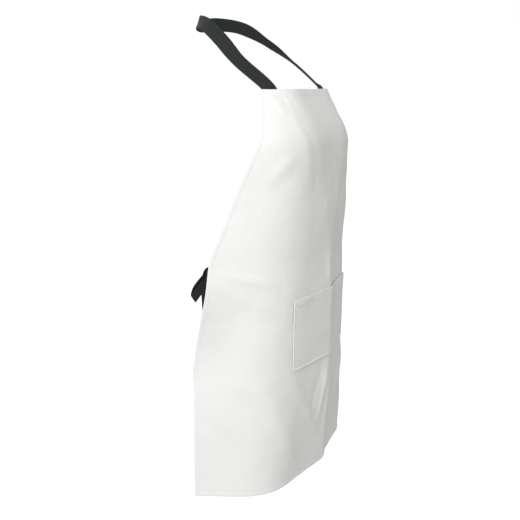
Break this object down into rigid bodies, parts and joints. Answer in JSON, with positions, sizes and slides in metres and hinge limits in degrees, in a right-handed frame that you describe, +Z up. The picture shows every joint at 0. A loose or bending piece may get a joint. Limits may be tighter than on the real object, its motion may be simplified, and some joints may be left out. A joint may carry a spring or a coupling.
{
  "type": "butcher apron",
  "caption": "white bib apron as worn, with a hemmed panel, a wide patch pocket, a dark webbing neck strap and waist ties knotted in a bow at the back",
  "frame": {"origin": "the inside of the neck strap at the nape, where the wearer's neck carries the apron", "axes": "+Z up, +X towards the wearer's left, +Y towards the wearer's back, so the front of the apron faces -Y"},
  "size_m": [0.6018, 0.324, 0.995],
  "materials": {
    "white_cloth": "matte",
    "white_hem": "matte",
    "charcoal_webbing": "woven matte",
    "white_thread": "satin"
  },
  "bodies": {
    "neck": {"neck_strap": "charcoal_webbing"},
    "apron": {"apron_panel": "white_cloth", "pocket": "white_cloth", "top_hem": "white_hem", "bottom_hem": "white_hem", "armhole_hem_right": "white_hem", "armhole_hem_left": "white_hem", "side_hem_right": "white_hem", "side_hem_left": "white_hem", "pocket_mouth_hem": "white_hem", "strap_end_right": "charcoal_webbing", "strap_end_left": "charcoal_webbing", "tie_end_right": "charcoal_webbing", "tie_end_left": "charcoal_webbing", "pocket_tack_right": "white_thread", "pocket_tack_left": "white_thread", "strap_stitch_right": "white_thread", "strap_stitch_left": "white_thread", "tie_stitch_right": "white_thread", "tie_stitch_left": "white_thread"},
    "ties": {"waist_tie_right": "charcoal_webbing", "waist_tie_left": "charcoal_webbing", "waist_knot": "charcoal_webbing"}
  },
  "joints": [
    {"name": "apron_swing", "type": "hinge", "parent": "neck", "child": "apron", "pos_m": [0, -0.22059, -0.12616], "axis": [-1, 0, 0], "range_deg": [-30, 60]},
    {"name": "waist_ties_swing", "type": "hinge", "parent": "apron", "child": "ties", "pos_m": [0, -0.17408, -0.4998], "axis": [1, 0, 0], "range_deg": [-30, 40]}
  ]
}
